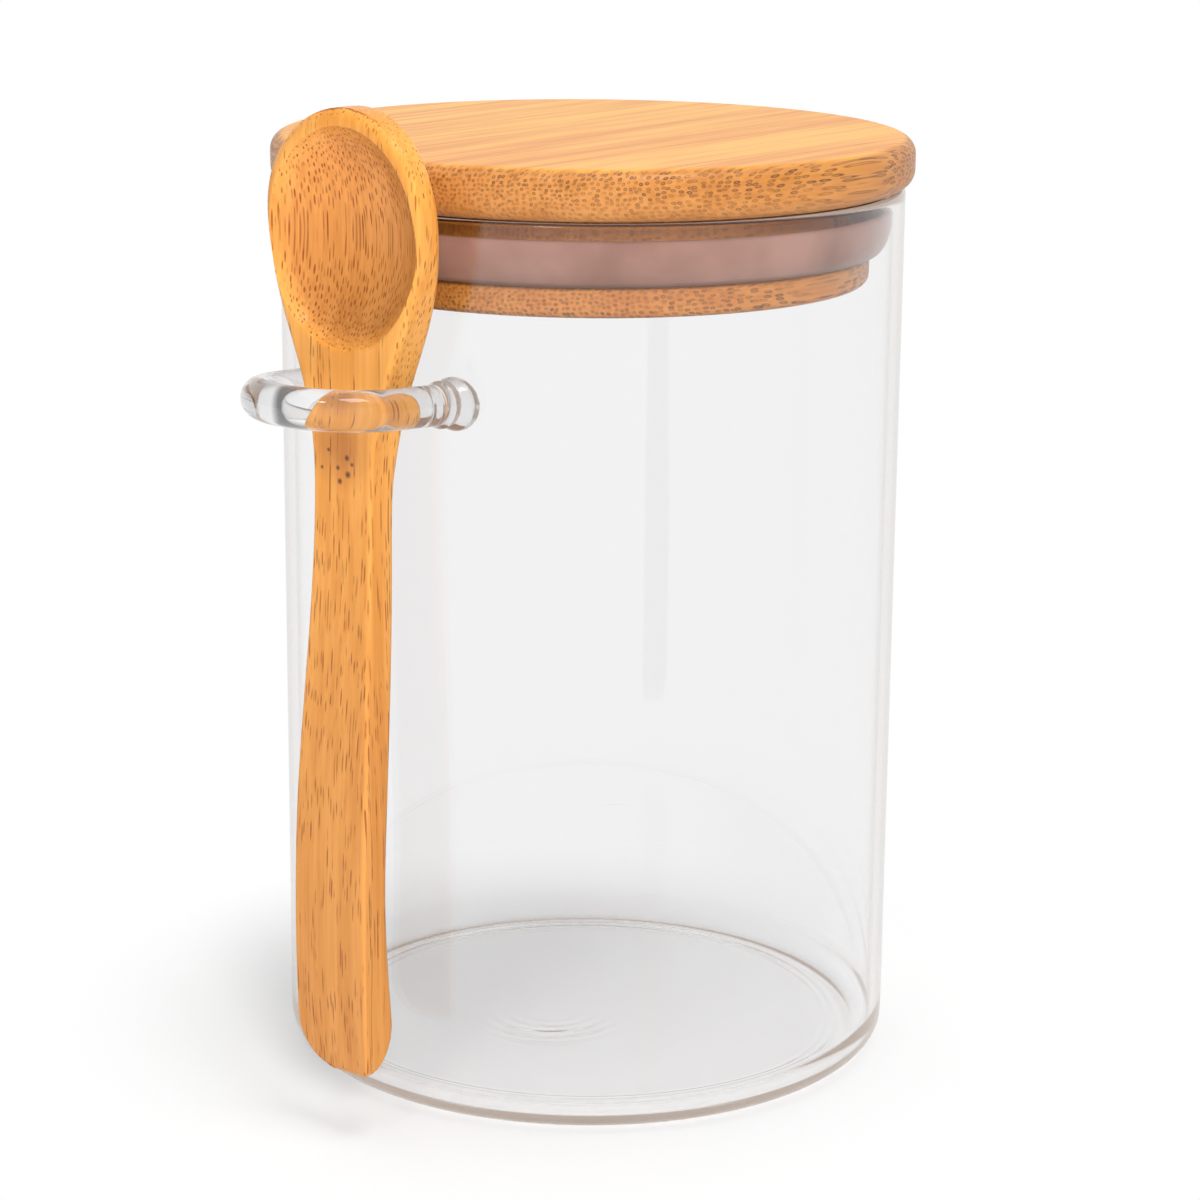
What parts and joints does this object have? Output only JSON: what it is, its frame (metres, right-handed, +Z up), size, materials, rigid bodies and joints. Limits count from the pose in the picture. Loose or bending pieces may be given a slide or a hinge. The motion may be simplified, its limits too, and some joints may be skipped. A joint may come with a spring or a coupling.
{
  "type": "food canister",
  "caption": "Clear glass storage jar with a bamboo plug lid, a silicone sealing ring and a bamboo spoon that hangs in a glass loop on the wall.",
  "frame": {"origin": "centre of the jar's flat base, on the jar's axis", "axes": "+Z up along the jar's axis, -Y towards the loop and the hanging spoon"},
  "size_m": [0.1028, 0.1268, 0.159],
  "materials": {
    "jar_glass": "clear polished borosilicate",
    "loop_glass": "clear flame-worked rod",
    "lid_bamboo": "sanded bamboo, satin",
    "plug_bamboo": "sanded bamboo, satin",
    "seal_silicone": "translucent silicone",
    "spoon_bamboo": "sanded bamboo, satin"
  },
  "bodies": {
    "jar": {"jar_body": "jar_glass", "spoon_loop": "loop_glass"},
    "lid": {"lid_top": "lid_bamboo", "lid_plug": "plug_bamboo", "lid_seal": "seal_silicone"},
    "spoon": {"spoon": "spoon_bamboo"}
  },
  "joints": [
    {"name": "lid_lift", "type": "slide", "parent": "jar", "child": "lid", "axis": [0, 0, 1], "range_m": [0, 0.1]},
    {"name": "spoon_lift", "type": "slide", "parent": "jar", "child": "spoon", "axis": [0, 0, 1], "range_m": [0, 0.13]}
  ]
}
